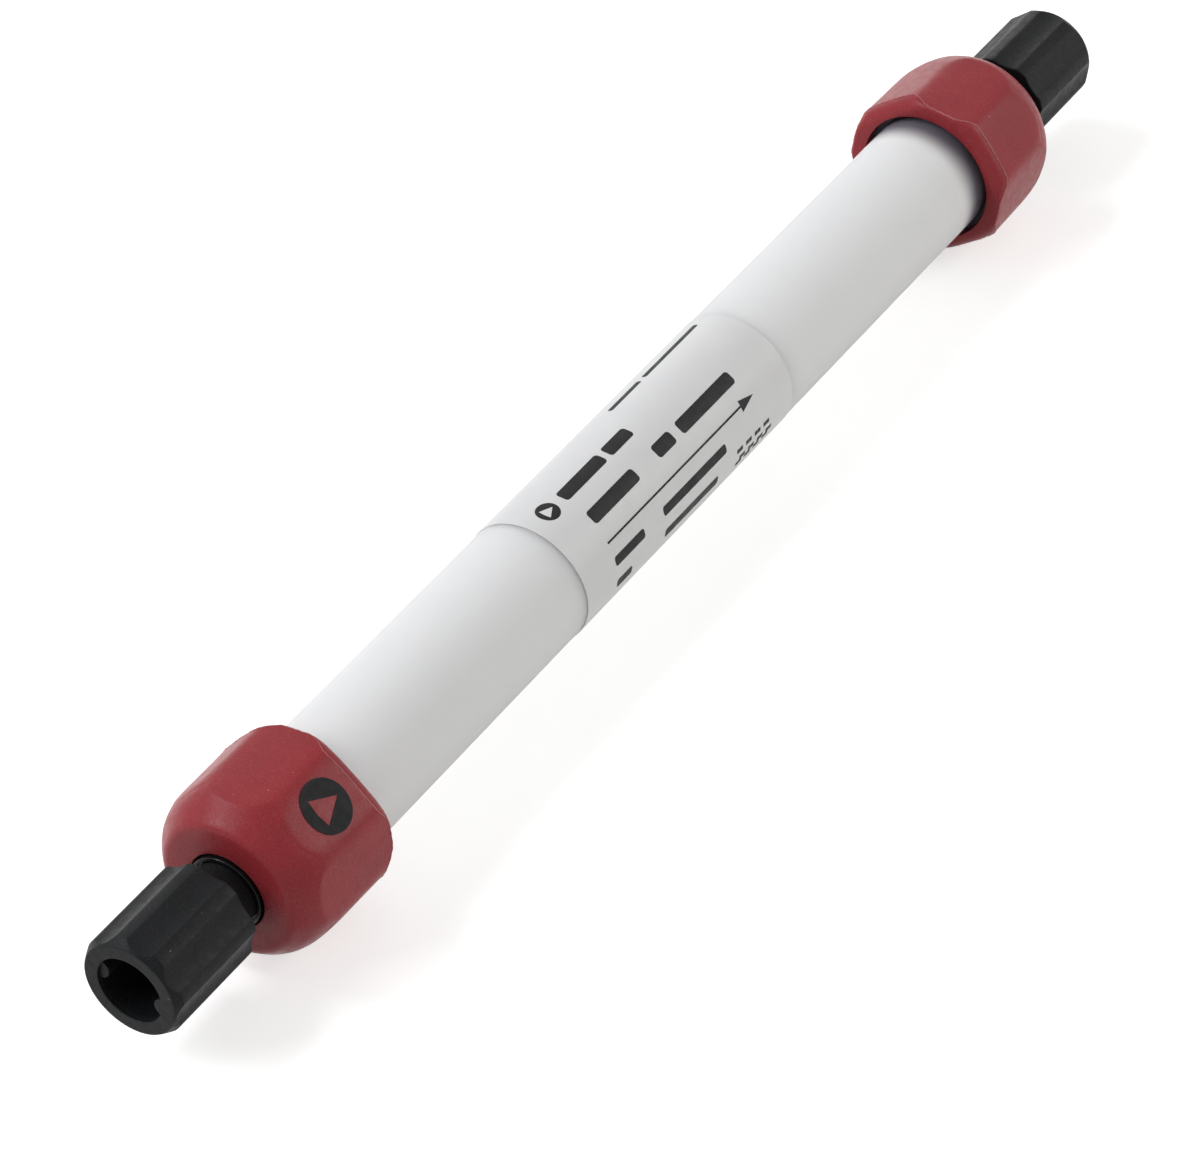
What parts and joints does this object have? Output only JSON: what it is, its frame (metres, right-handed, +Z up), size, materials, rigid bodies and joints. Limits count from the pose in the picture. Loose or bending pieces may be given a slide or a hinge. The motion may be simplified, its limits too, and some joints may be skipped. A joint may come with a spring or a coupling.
{
  "type": "liquid chromatography column",
  "caption": "Slim pre-packed chromatography column: white tube with a wrapped label, eight-sided red end caps and fluted black stop plugs screwed into its ports.",
  "frame": {"origin": "on the column's axis, midway between the two ends", "axes": "+X along the column with the flow, from the inlet to the outlet; +Z up, square to the inlet cap's lowest flat, when the column lies on its side"},
  "size_m": [0.1508, 0.0168, 0.0168],
  "materials": {
    "tube_plastic": "smooth white moulded plastic with a soft gloss",
    "resin": "damp white beads",
    "label_film": "satin white film with black print",
    "red_cap_plastic": "fine-grained red moulded plastic",
    "black_fitting_plastic": "smooth black plastic",
    "sintered_filter": "porous white plastic",
    "seal_rubber": "black rubber",
    "black_plug_plastic": "fine-grained black moulded plastic"
  },
  "bodies": {
    "column": {"column_tube": "tube_plastic", "resin_bed": "resin", "column_label": "label_film", "inlet_cap": "red_cap_plastic", "inlet_end_piece": "black_fitting_plastic", "inlet_filter": "sintered_filter", "inlet_seal_ring": "seal_rubber", "outlet_cap": "red_cap_plastic", "outlet_end_piece": "black_fitting_plastic", "outlet_filter": "sintered_filter", "outlet_seal_ring": "seal_rubber"},
    "inlet_plug": {"inlet_stop_plug": "black_plug_plastic"},
    "outlet_plug": {"outlet_stop_plug": "black_plug_plastic"}
  },
  "joints": [
    {"name": "inlet_plug_slide", "type": "slide", "parent": "column", "child": "inlet_plug", "axis": [-1, 0, 0], "range_m": [0, 0.012]},
    {"name": "outlet_plug_slide", "type": "slide", "parent": "column", "child": "outlet_plug", "axis": [1, 0, 0], "range_m": [0, 0.012]}
  ]
}
